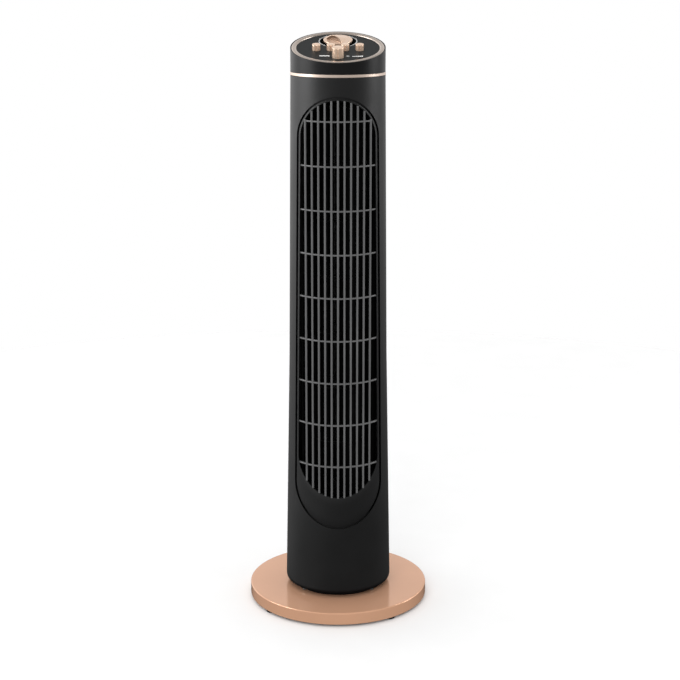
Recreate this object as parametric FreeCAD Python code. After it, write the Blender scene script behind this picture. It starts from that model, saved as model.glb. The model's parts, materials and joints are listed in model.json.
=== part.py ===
import FreeCAD, Part
import os
from math import cos, radians, sin, tan

os.makedirs("parts", exist_ok=True)

# Tower fan. Origin: centre of the base, on the floor. +Z up, air leaves towards -Y. Millimetres.

# Base and feet
base_radius = 116.5
base_bottom = 3.0
base_top = 18.6
base_wall = 2.4
cover_opening = 57.0
base_screw_circle = 92.0
hub_radius = 63.0
hub_screw_circle = 32.0
hub_bore = 5.0
retainer_radius = 19.0
retainer_screw_circle = 8.6
foot_radius = 7.0
foot_circle = 108.5
foot_turn = -7.4            # the base sits turned by this much under the column, degrees

# Column: two cones, each given by the height and radius of its ends
column_bottom = 22.6
column_waist = 330.0
column_top = 685.2
radius_bottom = 68.8
radius_waist = 62.7
radius_top = 59.0
wall = 2.2
seam_gap = 0.2
foot_round = 7.0            # the column's lower edge is rounded this much
floor_radius = 64.8
floor_screw_circle = 61.6
casing_screw_heights = [62.0, 667.0]
casing_screw_inset = 9.0    # from the column's outside to the screw axis

# Head: a cylinder cut by a plane that falls towards the front
head_radius = 58.9
head_bottom = 689.1
rim_height = 735.0
panel_tilt = 15.2
band_bottom = 685.4
band_top = 689.0
band_proud = 0.3
ring_outer = 57.8
ring_inner = 51.5
panel_drop = 1.0            # the control panel lies this far below the rim
head_inner = 56.7
spigot_outer = 56.5
spigot_inner = 54.3
spigot_bottom = 676.0
lug_circle = 52.2
lug_middle = -8.0

beyond = 80.0               # clear of the column on every side, for cutting shapes
inside = 5.0                # well inside the column's wall
grille_low = 80.0
grille_high = 680.0

# Front grille: a long insert with round ends, split by bars
insert_top_radius = 49.3
insert_top_centre = 612.3
insert_bottom_radius = 54.5
insert_bottom_centre = 169.0
groove_half = 1.2
slots_top_radius = 45.7
slots_bottom_radius = 50.5
slots_bottom_centre = 205.2
bar_count = 11
bar_pitch = 8.0
bar_width = 2.6
rib_count = 9
rib_first = 632.5
rib_pitch = 54.6
rib_width = 2.0

# Rear grille: the same kind of insert with level slats
intake_half_width = 40.0
intake_bottom_centre = 205.0
intake_top_centre = 600.0
slat_pitch = 8.4
slat_width = 3.6

# Blower: motor and cross-flow wheel on one upright axis
blower_y = 6.0
wheel_radius = 34.0
blade_inner = 27.0
blade_count = 30
wheel_bottom = 146.0
wheel_top = 650.0
wheel_cells = 7
deck_bottom = 134.0
roof_bottom = 656.0
plate = 3.0
shaft_radius = 4.0
case_bottom = 63.0
case_top = 127.0
case_radius = 40.5
case_inner = 38.9
case_wall = 1.8
stator_radius = 39.0
stator_bore = 25.6
stator_bottom = 84.0
stator_top = 108.0
slot_outer = 35.0
slot_inner = 29.0
tooth_count = 12
bearing_radius = 7.9

# Swivel and its drive
post_radius = 12.0
track_inner = 52.5
track_outer = 56.5
floor_bottom = 23.5
crank_y = 32.0
crank_throw = 16.0
pin_radius = 2.5
slot_clearance = 1.5
drive_motor_low = 35.5
drive_motor_radius = 24.5
drive_motor_height = 16.0
drive_ear = 29.5            # from the motor's axis to each ear's screw
running_fit = 0.06
pilot_radius = 1.2          # core of a screw thread in plastic

# Cord entry, low at the rear
gland_height = 48.0
gland_radius = 6.0

# Controls: places are given as x and the distance up the slope from the head's axis
key_places = [-26.6, -8.8, 8.8, 26.6]
key_slope = -8.3
key_radius = 5.15
key_height = 7.2
key_travel = 3.0
knob_slope = -35.6
knob_radius = 7.3
knob_height = 12.3
knob_travel = 4.0
timer_slope = 25.3
timer_radius = 18.2
flange_top = 1.6
ramp_height = 8.6           # the highest point of the timer's finger ramp above the slope
ramp_slope = 17.0
ramp_turn = -38.0
face_reach = 9.4            # the ramp's upright face lies this far in front of the timer's axis
arch_radius = 14.3
scoop_radius = 51.0
scoop_depth = 1.6
hole_clearance = 0.4

panel_centre = rim_height - head_radius * tan(radians(panel_tilt))
rearward = FreeCAD.Vector(0, 1, 0)
up = FreeCAD.Vector(0, 0, 1)
floor_top = floor_bottom + plate


def cylinder(radius, z0, z1, x=0.0, y=0.0):
    return Part.makeCylinder(radius, z1 - z0, FreeCAD.Vector(x, y, z0), up)


def ring(outer, inner, z0, z1, x=0.0, y=0.0):
    return cylinder(outer, z0, z1, x, y).cut(cylinder(inner, z0 - 1, z1 + 1, x, y))


def box(x0, x1, y0, y1, z0, z1):
    return Part.makeBox(x1 - x0, y1 - y0, z1 - z0, FreeCAD.Vector(x0, y0, z0))


def along_y(radius, y0, y1, x, z):
    return Part.makeCylinder(radius, y1 - y0, FreeCAD.Vector(x, y0, z), rearward)


def union(shapes):
    return shapes[0].multiFuse(shapes[1:]).removeSplitter()


def group(solids):
    return Part.makeCompound(solids)


def revolve(points):
    """A full turn about Z of an outline given as (radius, height) points."""
    corners = [FreeCAD.Vector(r, 0, z) for r, z in points]
    outline = Part.makePolygon(corners + corners[:1])
    return Part.Face(outline).revolve(FreeCAD.Vector(0, 0, 0), up, 360)


def rounded(shape, radius, wanted):
    """Round every edge whose middle passes the test."""
    edges = [edge for edge in shape.Edges if wanted(edge.CenterOfMass, edge)]
    return shape.makeFillet(radius, edges)


def body_radius(z):
    if z < column_waist:
        share = (z - column_bottom) / (column_waist - column_bottom)
        return radius_bottom + share * (radius_waist - radius_bottom)
    share = (z - column_waist) / (column_top - column_waist)
    return radius_waist + share * (radius_top - radius_waist)


def body_solid(inset, z0, z1):
    """The column's outer form, moved inwards by a wall thickness."""
    heights = [z0] + [z for z in [column_waist] if z0 < z < z1] + [z1]
    skin = [(body_radius(z) - inset, z) for z in heights]
    return revolve([(0, z0)] + skin + [(0, z1)])


def body_shell(outer_inset, inner_inset, z0, z1):
    return body_solid(outer_inset, z0, z1).cut(body_solid(inner_inset, z0 - 1, z1 + 1))


def long_slot(top_radius, top_centre, bottom_radius, bottom_centre, y0, y1):
    """A prism along Y with a round top and a round bottom, joined by straight sides."""
    def at(x, z):
        return FreeCAD.Vector(x, y0, z)
    top = Part.Arc(at(-top_radius, top_centre), at(0, top_centre + top_radius), at(top_radius, top_centre))
    right = Part.LineSegment(at(top_radius, top_centre), at(bottom_radius, bottom_centre))
    bottom = Part.Arc(at(bottom_radius, bottom_centre), at(0, bottom_centre - bottom_radius),
                      at(-bottom_radius, bottom_centre))
    left = Part.LineSegment(at(-bottom_radius, bottom_centre), at(-top_radius, top_centre))
    outline = Part.Wire([curve.toShape() for curve in (top, right, bottom, left)])
    return Part.Face(outline).extrude(FreeCAD.Vector(0, y1 - y0, 0))


def insert_prism(grow):
    return long_slot(insert_top_radius + grow, insert_top_centre,
                     insert_bottom_radius + grow, insert_bottom_centre, -beyond, -inside)


def intake_prism(grow):
    half = intake_half_width + grow
    return long_slot(half, intake_top_centre, half, intake_bottom_centre, inside, beyond)


def on_panel(shape, x, slope, height=0.0):
    """Carry a shape built about the origin onto the sloping top, standing along its normal."""
    tilt = radians(panel_tilt)
    placed = shape.copy()
    placed.rotate(FreeCAD.Vector(0, 0, 0), FreeCAD.Vector(1, 0, 0), panel_tilt)
    y = slope * cos(tilt) - height * sin(tilt)
    z = panel_centre + slope * sin(tilt) + height * cos(tilt)
    placed.translate(FreeCAD.Vector(x, y, z))
    return placed


def sloping_slab(h0, h1):
    """Everything between two heights above the rim, along the sloping top's normal."""
    return on_panel(box(-90, 90, -90, 90, h0, h1), 0, 0)


def screw(x, y, z0, z1, radius=1.5, head_radius=2.9, head=2.0, points_up=True):
    """A pan-head screw on an upright axis; its head is at z0 when it points up, else at z1."""
    shank = cylinder(radius, z0, z1, x, y)
    if points_up:
        return shank.fuse(cylinder(head_radius, z0 - head, z0, x, y))
    return shank.fuse(cylinder(head_radius, z1, z1 + head, x, y))


def around(radius, count, first=45.0):
    """Places on a circle: (x, y) for each."""
    angles = [radians(first + 360.0 * n / count) for n in range(count)]
    return [(radius * cos(a), radius * sin(a)) for a in angles]


def save(name, shape):
    shape.exportStep("parts/" + name + ".step")


# ---------------------------------------------------------------- base

foot_places = around(foot_circle, 4, foot_turn - 45)
base_screw_places = around(base_screw_circle, 6, foot_turn)
hub_screw_places = around(hub_screw_circle, 4, -20)
slot_lug_places = [(-11.5, 36.0), (11.5, 36.0)]
retainer_screw_places = around(retainer_screw_circle, 3, 90)
plate_bottom = base_bottom + 0.6
plate_top = plate_bottom + 2.2


def base_cover():
    inner = base_radius - base_wall
    shell = revolve([(cover_opening, base_top), (base_radius, base_top), (base_radius, base_bottom),
                     (inner, base_bottom), (inner, base_top - base_wall),
                     (cover_opening, base_top - base_wall)])
    shell = rounded(shell, 1.5, lambda c, e: e.BoundBox.XLength > 2 * base_radius - 1 and c.z > base_top - 0.1)
    shell = rounded(shell, 0.9, lambda c, e: e.BoundBox.XLength > 2 * base_radius - 1 and c.z < base_bottom + 0.1)
    boss_top = base_top - base_wall + 0.5
    bosses = [ring(4.0, pilot_radius, plate_top, boss_top, x, y) for x, y in base_screw_places]
    return union([shell] + bosses)


def base_plate():
    disc = cylinder(base_radius - base_wall - 0.4, plate_bottom, plate_top)
    disc = disc.cut(group([cylinder(3.2, 0, plate_top + 1, x, y) for x, y in foot_places]))
    disc = disc.cut(group([cylinder(1.8, 0, plate_top + 1, x, y) for x, y in base_screw_places]))
    return disc.cut(group([cylinder(1.8, 0, plate_top + 1, x, y) for x, y in hub_screw_places]))


def foot(x, y):
    pad = cylinder(foot_radius, 0, base_bottom - 0.05, x, y)
    pad = rounded(pad, 0.8, lambda c, e: c.z < 0.1 and e.BoundBox.XLength > foot_radius)
    seat = cylinder(5.0, 1.0, plate_bottom, x, y)
    stub = cylinder(3.1, 1.0, plate_top, x, y)
    return union([pad, seat, stub])


hub_floor_top = plate_top + 2.5
post_top = 30.0
track_top = 22.0


def swivel_hub():
    """A dish with a raised bearing track, a flange under the cover and a centre post."""
    flange_level = plate_top + 2.0
    dish = revolve([(0, plate_top), (hub_radius, plate_top), (hub_radius, flange_level),
                    (track_outer, flange_level),
                    (track_outer, track_top), (track_inner, track_top), (track_inner, hub_floor_top),
                    (post_radius, hub_floor_top), (post_radius, post_top), (0, post_top)])
    bore = cylinder(hub_bore, hub_floor_top, post_top + 1)
    pilots = [cylinder(pilot_radius, plate_top - 1, hub_floor_top - 0.4, x, y) for x, y in hub_screw_places]
    pilots += [cylinder(pilot_radius, hub_floor_top - 1.8, hub_floor_top + 1, x, y) for x, y in slot_lug_places]
    pilots += [cylinder(1.1, post_top - 8, post_top + 1, x, y) for x, y in retainer_screw_places]
    return dish.cut(group([bore] + pilots))


slot_bottom = hub_floor_top + 1.5
slot_block_top = 15.6


def drive_slot():
    """A channel that points to the rear; the crank pin runs in it."""
    half = pin_radius + slot_clearance
    block = box(-half - 4.5, half + 4.5, post_radius + 1.2, 51.9, hub_floor_top, slot_block_top)
    lugs = [cylinder(4.0, hub_floor_top, hub_floor_top + 3.0, x, y) for x, y in slot_lug_places]
    block = union([block] + lugs)
    channel = box(-half, half, 0, 51.0, slot_bottom, slot_block_top + 1)
    lug_holes = [cylinder(1.6, 0, hub_floor_top + 4, x, y) for x, y in slot_lug_places]
    return block.cut(group([channel] + lug_holes))


retainer_top = post_top + 2.0


def swivel_retainer():
    disc = ring(retainer_radius, hub_bore, post_top, retainer_top)
    return disc.cut(group([cylinder(1.5, 0, retainer_top + 1, x, y) for x, y in retainer_screw_places]))


# ---------------------------------------------------------------- swivel drive

def drive_motor():
    can = cylinder(drive_motor_radius, drive_motor_low, drive_motor_low + drive_motor_height, 0, crank_y)
    can = rounded(can, 2.0, lambda c, e: e.BoundBox.XLength > 40)
    ears = box(-33, 33, crank_y - 5, crank_y + 5, drive_motor_low, drive_motor_low + 1.6)
    nose = cylinder(5.0, drive_motor_low - 4, drive_motor_low + 1, 0, crank_y)
    bore = cylinder(pin_radius + running_fit, drive_motor_low - 5, drive_motor_low + 10, 0, crank_y)
    holes = [cylinder(1.7, 0, drive_motor_low + 5, x, crank_y) for x in (-drive_ear, drive_ear)]
    return union([can, ears, nose]).cut(group([bore] + holes))


def crank():
    """An arm under the column floor with a drive pin that points down."""
    level = slot_block_top + 0.6
    hub = cylinder(5.0, level, floor_bottom - 0.8, 0, crank_y)
    arm = box(-3.5, 3.5, crank_y, crank_y + crank_throw, level, level + 3)
    tip = cylinder(3.5, level, level + 3, 0, crank_y + crank_throw)
    pin = cylinder(pin_radius, slot_bottom + 0.6, level + 3, 0, crank_y + crank_throw)
    socket = cylinder(pin_radius, level + 1, floor_bottom, 0, crank_y)
    return union([hub, arm, tip, pin]).cut(socket)


def crank_shaft():
    return cylinder(pin_radius, slot_block_top + 1.6, drive_motor_low + 9.5, 0, crank_y)


# ---------------------------------------------------------------- column structure

floor_screw_places = around(floor_screw_circle, 4)


def column_floor():
    disc = cylinder(floor_radius, floor_bottom, floor_top)
    collar = cylinder(16.0, floor_bottom, post_top - 0.3)
    standoffs = [cylinder(3.6, floor_bottom, drive_motor_low, x, crank_y) for x in (-drive_ear, drive_ear)]
    disc = union([disc, collar] + standoffs)
    cuts = [cylinder(post_radius + running_fit, 0, 40), cylinder(5.6, 0, 40, 0, crank_y)]
    cuts += [cylinder(1.7, 0, 40, x, y) for x, y in floor_screw_places]
    cuts += [cylinder(pilot_radius, drive_motor_low - 8, 40, x, crank_y) for x in (-drive_ear, drive_ear)]
    return disc.cut(group(cuts))


def casing_tube():
    tube = body_solid(0, column_bottom, column_top)
    tube = rounded(tube, foot_round, lambda c, e: e.BoundBox.XLength > 120 and c.z < column_bottom + 0.1)
    tube = tube.cut(cylinder(floor_radius + 0.3, column_bottom - 1, floor_top + 0.2))
    return tube.cut(body_solid(wall, floor_top + 0.1, column_top + 1))


def casing_half(front):
    """One moulded half of the column, with its screw bosses along the seam and over the floor."""
    side = -1 if front else 1
    near = seam_gap / 2
    depth = (-beyond, -near) if front else (near, beyond)
    half_space = box(-beyond, beyond, *depth, 0, head_bottom)
    bosses = []
    pilots = []
    for z in casing_screw_heights:
        x = body_radius(z) - casing_screw_inset
        bosses += [along_y(3.8, -60, 60, place, z) for place in (-x, x)]
        pilots += [along_y(1.3 if front else 1.7, -12, 60, place, z) for place in (-x, x)]
        if not front:
            pilots += [along_y(3.3, 10, 80, place, z) for place in (-x, x)]
    floor_bosses = [cylinder(4.0, floor_top + 0.1, 42, x, y) for x, y in floor_screw_places if y * side > 0]
    floor_pilots = [cylinder(pilot_radius, floor_top, 38, x, y) for x, y in floor_screw_places]
    inner_form = body_solid(0.8, column_bottom, column_top)
    trimmed = [boss.common(inner_form) for boss in bosses + floor_bosses]
    opening = insert_prism(groove_half) if front else intake_prism(groove_half).fuse(gland_hole())
    half = union([casing_tube().common(half_space)] + [boss.common(half_space) for boss in trimmed])
    return half.cut(opening).cut(group(pilots + floor_pilots))


def gland_hole():
    return along_y(gland_radius + 0.05, 50, 90, 0, gland_height)


def clear_of_grille(disc):
    """Trim a level disc where the grille stands inside the front casing."""
    return disc.cut(body_shell(-1.0, 6.0, grille_low, grille_high).common(insert_prism(4.6)))


def front_grille():
    skin = body_shell(0, wall + 0.5, grille_low, grille_high).common(insert_prism(-groove_half))
    flange = body_shell(wall + 0.1, wall + 2.2, grille_low, grille_high).common(insert_prism(4.0))
    window = long_slot(slots_top_radius, insert_top_centre, slots_bottom_radius, slots_bottom_centre,
                       -beyond, -inside)
    frame = skin.fuse(flange).cut(window)
    overlap = long_slot(slots_top_radius + 0.6, insert_top_centre, slots_bottom_radius + 0.6,
                        slots_bottom_centre, -beyond, -inside)
    first = -bar_pitch * (bar_count - 1) / 2
    bars = [box(x - bar_width / 2, x + bar_width / 2, -beyond, -inside, grille_low, grille_high)
            for x in [first + n * bar_pitch for n in range(bar_count)]]
    ribs = [box(-beyond, beyond, -beyond, -inside, z - rib_width / 2, z + rib_width / 2)
            for z in [rib_first - n * rib_pitch for n in range(rib_count)]]
    bar_form = body_shell(0.15, 5.5, grille_low, grille_high).common(overlap)
    rib_form = body_shell(0.7, 3.4, grille_low, grille_high).common(overlap)
    pieces = [bar_form.common(bar) for bar in bars] + [rib_form.common(rib) for rib in ribs]
    return union([frame] + pieces)


def rear_grille():
    skin = body_shell(0, wall + 0.5, grille_low, grille_high).common(intake_prism(-0.3))
    flange = body_shell(wall + 0.1, wall + 2.2, grille_low, grille_high).common(intake_prism(4.0))
    window = intake_prism(-5.0)
    slats = []
    z = intake_bottom_centre - intake_half_width
    while z < intake_top_centre + intake_half_width:
        slats.append(box(-beyond, beyond, 0, beyond, z - slat_width / 2, z + slat_width / 2))
        z += slat_pitch
    slats += [box(x - 1.5, x + 1.5, 0, beyond, grille_low, grille_high) for x in (-18, 0, 18)]
    return skin.fuse(flange).cut(window.cut(union(slats)))


def curved_wall(first, middle, last, thickness, z0, z1):
    """An upright wall whose inner face is an arc through three (x, y) places."""
    arc = Part.Arc(*[FreeCAD.Vector(x, y, z0) for x, y in (first, middle, last)])
    circle = arc.toShape().Curve
    centre = circle.Center
    reach = (circle.Radius + thickness) / circle.Radius

    def outwards(place):
        x, y = place
        return FreeCAD.Vector(centre.x + (x - centre.x) * reach, centre.y + (y - centre.y) * reach, z0)
    outer = Part.Arc(outwards(last), outwards(middle), outwards(first))
    sides = [Part.LineSegment(FreeCAD.Vector(last[0], last[1], z0), outwards(last)),
             Part.LineSegment(outwards(first), FreeCAD.Vector(first[0], first[1], z0))]
    outline = Part.Wire([arc.toShape(), sides[0].toShape(), outer.toShape(), sides[1].toShape()])
    return Part.Face(outline).extrude(FreeCAD.Vector(0, 0, z1 - z0))


def beside_wheel(gap, angle):
    """A place at a gap from the wheel's tips, at an angle about the wheel."""
    reach = wheel_radius + gap
    return (reach * cos(radians(angle)), blower_y + reach * sin(radians(angle)))


duct_bottom = deck_bottom + plate + 0.2
duct_top = roof_bottom - 0.2


def air_guide():
    """The scroll: close to the wheel at the rear left, opening towards the outlet."""
    return curved_wall(beside_wheel(3.0, 150), beside_wheel(10.5, 190), (-44.5, -26.5), 2.0,
                       duct_bottom, duct_top)


def air_tongue():
    """The cut-off wall on the other side, with a hook close to the wheel."""
    lip = beside_wheel(3.0, -14)
    wall_out = curved_wall((45.0, -27.5), (38.0, -17.5), lip, -1.8, duct_bottom, duct_top)
    hook = curved_wall(lip, (42.5, 0.5), (49.5, -0.5), -1.8, duct_bottom, duct_top)
    return union([wall_out, hook])


# ---------------------------------------------------------------- blower motor and wheel

mount_places = [(x, y + blower_y) for x, y in around(30.0, 4)]

def motor_case(lower):
    """One pressed cup of the motor's case; the two cups meet the stator from below and above."""
    outer_end, mouth, inwards = (case_bottom, stator_bottom, 1) if lower else (case_top, stator_top, -1)

    def tube(radius, start, end):
        return cylinder(radius, min(start, end), max(start, end), 0, blower_y)
    cup = tube(case_radius, outer_end, mouth + 4 * inwards)
    cup = rounded(cup, 5.0, lambda c, e: abs(c.z - outer_end) < 0.1 and e.BoundBox.XLength > 60)
    cup = cup.cut(tube(case_inner, outer_end + case_wall * inwards, mouth))
    cup = cup.cut(tube(stator_radius + 0.2, mouth - 0.1 * inwards, mouth + 5 * inwards))
    holes = [] if lower else [cylinder(2.1, case_top - 5, case_top + 1, x, y) for x, y in mount_places]
    return cup.cut(group(holes + [tube(bearing_radius + 0.1, outer_end - inwards, outer_end + 5 * inwards)]))


def motor_stator():
    """A laminated core with teeth between its slots."""
    core = ring(stator_radius, stator_bore, stator_bottom, stator_top, 0, blower_y)
    slots = ring(slot_outer, slot_inner, stator_bottom - 1, stator_top + 1, 0, blower_y)
    for n in range(tooth_count):
        tooth = box(-2.5, 2.5, stator_bore - 1.6, slot_outer + 1, stator_bottom - 2, stator_top + 2)
        tooth.rotate(FreeCAD.Vector(0, 0, 0), up, 360.0 * n / tooth_count)
        tooth.translate(FreeCAD.Vector(0, blower_y, 0))
        slots = slots.cut(tooth)
    return core.cut(slots)


def motor_windings():
    outer = slot_outer - 0.4
    inner = slot_inner + 0.4
    lower = ring(outer, inner, stator_bottom - 10, stator_bottom - 0.3, 0, blower_y)
    upper = ring(outer, inner, stator_top + 0.3, stator_top + 10, 0, blower_y)
    return group([rounded(coil, 2.0, lambda c, e: True) for coil in (lower, upper)])


def motor_bearings():
    inner = shaft_radius + running_fit
    low = ring(bearing_radius, inner, case_bottom - 1, case_bottom + 7, 0, blower_y)
    high = ring(bearing_radius, inner, case_top - 7, case_top + 1, 0, blower_y)
    return group([low, high])


def motor_deck():
    disc = cylinder(body_radius(deck_bottom) - wall - 0.4, deck_bottom, deck_bottom + plate)
    holes = [cylinder(2.1, 0, 200, x, y) for x, y in mount_places]
    holes += [cylinder(10.0, 0, 200, 0, blower_y), cylinder(3.0, 0, 200, *wire_place)]
    return clear_of_grille(disc.cut(group(holes)))


def motor_mounts():
    return group([ring(5.5, 2.2, case_top, deck_bottom, x, y) for x, y in mount_places])


def blade(angle):
    """One blade: a thin curved wall between the wheel's inner and outer radius, swept forwards."""
    def at(radius, lead):
        turn = radians(angle + lead)
        return FreeCAD.Vector(radius * cos(turn), blower_y + radius * sin(turn), wheel_bottom)
    middle = (wheel_radius + blade_inner) / 2
    inner_edge = at(blade_inner, 0)
    outer_edge = at(wheel_radius, 7)
    face = Part.Arc(inner_edge, at(middle, 1.2), outer_edge)
    back = Part.Arc(at(wheel_radius, 8.2), at(middle, 3.4), at(blade_inner, 1.8))
    tip = Part.LineSegment(outer_edge, at(wheel_radius, 8.2))
    root = Part.LineSegment(at(blade_inner, 1.8), inner_edge)
    outline = Part.Wire([curve.toShape() for curve in (face, tip, back, root)])
    return Part.Face(outline).extrude(FreeCAD.Vector(0, 0, wheel_top - wheel_bottom))


def blower_wheel():
    """A cross-flow wheel: cells of curved blades between thin rings, closed by a disc at each end."""
    rim = wheel_radius + 0.4
    rings = []
    for n in range(1, wheel_cells):
        z = wheel_bottom + n * (wheel_top - wheel_bottom) / wheel_cells
        rings.append(ring(rim, blade_inner - 1.0, z - 0.9, z + 0.9, 0, blower_y))
    low_disc = cylinder(rim, wheel_bottom, wheel_bottom + 2.0, 0, blower_y)
    low_disc = low_disc.cut(cylinder(9.0, wheel_bottom - 1, wheel_bottom + 3, 0, blower_y))
    high_disc = cylinder(rim, wheel_top - 2.0, wheel_top, 0, blower_y)
    pin_boss = cylinder(7.0, wheel_top - 12, wheel_top, 0, blower_y)
    blades = [blade(360.0 * n / blade_count) for n in range(blade_count)]
    whole = union([low_disc, high_disc, pin_boss] + rings + blades)
    return whole.cut(cylinder(3.0, wheel_top - 10, wheel_top + 1, 0, blower_y))


def wheel_coupling():
    """The rubber hub that holds the wheel's lower disc on the motor shaft."""
    hub = cylinder(9.0, wheel_bottom - 4, wheel_bottom + 10, 0, blower_y)
    flange = cylinder(13.0, wheel_bottom + 2.0, wheel_bottom + 4.0, 0, blower_y)
    return union([hub, flange]).cut(cylinder(shaft_radius, wheel_bottom - 5, wheel_bottom + 8, 0, blower_y))


def duct_roof():
    disc = cylinder(body_radius(roof_bottom + plate) - wall - 0.4, roof_bottom, roof_bottom + plate)
    holes = [cylinder(11.0, 600, 700, 0, blower_y), cylinder(3.0, 600, 700, *wire_place)]
    return clear_of_grille(disc.cut(group(holes)))


bearing_bottom = roof_bottom - 3.0
bearing_top = roof_bottom + 6.0


def bearing_cup():
    return ring(11.0, 6.5, bearing_bottom, bearing_top, 0, blower_y)


def top_bearing():
    return ring(6.5, 3.0 + running_fit, bearing_bottom, bearing_top, 0, blower_y)


def wheel_pin():
    return cylinder(3.0, wheel_top - 10, bearing_top - 1, 0, blower_y)


# ---------------------------------------------------------------- electrical pieces

wire_place = (-42.0, 26.0)
wire_radius = 1.8
block_top = floor_top + 14.0


def run_capacitor():
    case = box(-16, 16, 51.5, 62.3, 70, 96)
    case = rounded(case, 1.5, lambda c, e: e.BoundBox.ZLength > 20)
    case.rotate(FreeCAD.Vector(0, 0, 0), up, 90)
    return case


def capacitor_clip():
    """A sheet strap round the capacitor's inner face, its ends against the casing."""
    strap = box(-17.4, 17.4, 50.2, 62.3, 80, 88)
    strap = strap.cut(box(-16.1, 16.1, 51.4, 70.0, 70, 98))
    strap.rotate(FreeCAD.Vector(0, 0, 0), up, 90)
    return strap


def terminal_block():
    x, y = wire_place
    block = box(x - 10, x + 8, y - 6, y + 6, floor_top + 0.1, block_top)
    wells = [cylinder(1.8, floor_top + 6, 60, x + step, y) for step in (-6.0, 0.0, 5.5)]
    return block.cut(group(wells))



def cord_gland():
    """The bush where the supply cord enters, low at the rear of the column."""
    outside = body_radius(gland_height)
    body = along_y(gland_radius, outside - 10, outside + 2.0, 0, gland_height)
    flange = along_y(8.0, outside + 0.2, outside + 2.0, 0, gland_height)
    nut = along_y(8.0, outside - 7.0, outside - 3.4, 0, gland_height)
    return union([body, flange, nut]).cut(along_y(3.3, outside - 20, outside + 20, 0, gland_height))


def wiring_harness():
    """Sleeved leads from the terminal block up the side of the duct, with one bend into the timer."""
    x, y = wire_place
    high = 697.0
    bend = 8.0
    start = FreeCAD.Vector(x, y, block_top)
    turn_in = FreeCAD.Vector(x, y, high)
    half_way = FreeCAD.Vector(x + bend * (1 - cos(radians(45))), y, high + bend * sin(radians(45)))
    turn_out = FreeCAD.Vector(x + bend, y, high + bend)
    path = Part.Wire([Part.LineSegment(start, turn_in).toShape(),
                      Part.Arc(turn_in, half_way, turn_out).toShape(),
                      Part.LineSegment(turn_out, FreeCAD.Vector(-17.0, y, high + bend)).toShape()])
    section = Part.Wire([Part.makeCircle(wire_radius, start, up)])
    return path.makePipeShell([section], True, True)


# ---------------------------------------------------------------- head and controls

panel_screw_places = around(lug_circle, 4)
panel_level = -panel_drop


def on_lug(shape, x, y):
    """Stand a shape on the slope so that it passes over (x, y) at the lugs' middle height."""
    tilt = radians(panel_tilt)
    return on_panel(shape, x, (y + lug_middle * sin(tilt)) / cos(tilt))


def panel_lugs(radius, h0, h1):
    return [on_lug(cylinder(radius, h0, h1), x, y) for x, y in panel_screw_places]


def trim_band():
    band = ring(radius_top + band_proud, spigot_outer + 0.3, band_bottom, band_top)
    return rounded(band, 0.5, lambda c, e: e.BoundBox.XLength > 2 * radius_top)


def head_shell():
    below_rim = sloping_slab(-200, 0)
    above_lip = sloping_slab(-4.6, 50)
    tube = cylinder(head_radius, head_bottom, rim_height + 5).common(below_rim)
    tube = rounded(tube, 0.4, lambda c, e: c.z > head_bottom + 15 and e.BoundBox.XLength > 100)
    tube = tube.cut(cylinder(head_inner, head_bottom - 1, rim_height + 10))
    tube = tube.cut(cylinder(ring_outer + 0.05, head_bottom, rim_height + 10).common(above_lip))
    spigot = ring(spigot_outer, spigot_inner, spigot_bottom, head_bottom + 0.4)
    step = ring(57.5, spigot_inner, head_bottom, head_bottom + 2.0)
    lugs = [lug.common(cylinder(57.6, 600, 800)) for lug in panel_lugs(5.0, -12.0, -4.7)]
    return union([tube, spigot, step] + lugs).cut(group(panel_lugs(1.6, -30, 0)))


def panel_ring():
    band = ring(ring_outer, ring_inner, head_bottom, rim_height + 10).common(sloping_slab(-2.6, 0.5))
    return rounded(band, 0.9, lambda c, e: e.BoundBox.XLength > 100 and c.z > panel_centre - 0.5)


def control_panel():
    """A flat plate whose thinner edge runs under the copper ring."""
    edge = cylinder(ring_outer - 0.1, head_bottom, 800).common(sloping_slab(-4.6, -2.7))
    face = cylinder(ring_inner - 0.15, head_bottom, 800).common(sloping_slab(-3.5, panel_level))
    holes = [on_panel(cylinder(key_radius + hole_clearance, -20, 20), x, key_slope) for x in key_places]
    holes.append(on_panel(cylinder(knob_radius + hole_clearance, -20, 20), 0, knob_slope))
    holes.append(on_panel(cylinder(3.5, -20, 20), 0, timer_slope))
    return union([edge, face]).cut(group(holes + panel_lugs(1.2, -30, -3.0)))


def push_cap(radius, height, travel, crown):
    """A round cap that rises through the panel, on a flat stem that works the switch below."""
    cap = cylinder(radius, -4.5, panel_level + height)
    cap = rounded(cap, crown, lambda c, e: c.z > panel_level + height - 0.1)
    stem = box(-2.5, 2.5, -1.5, 1.5, -5.5 - travel - 6.0, -4.0)
    return cap.fuse(stem).removeSplitter()


def switch_body(half_x, half_s, top, depth, places, slope, travel):
    """A moulded switch housing with a well for each stem."""
    case = on_panel(box(-half_x, half_x, -half_s, half_s, top - depth, top), 0, slope)
    wells = [on_panel(box(-3.0, 3.0, -2.0, 2.0, -13.5 - 2 * travel, 0), x, slope) for x in places]
    return case.cut(group(wells))


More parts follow.
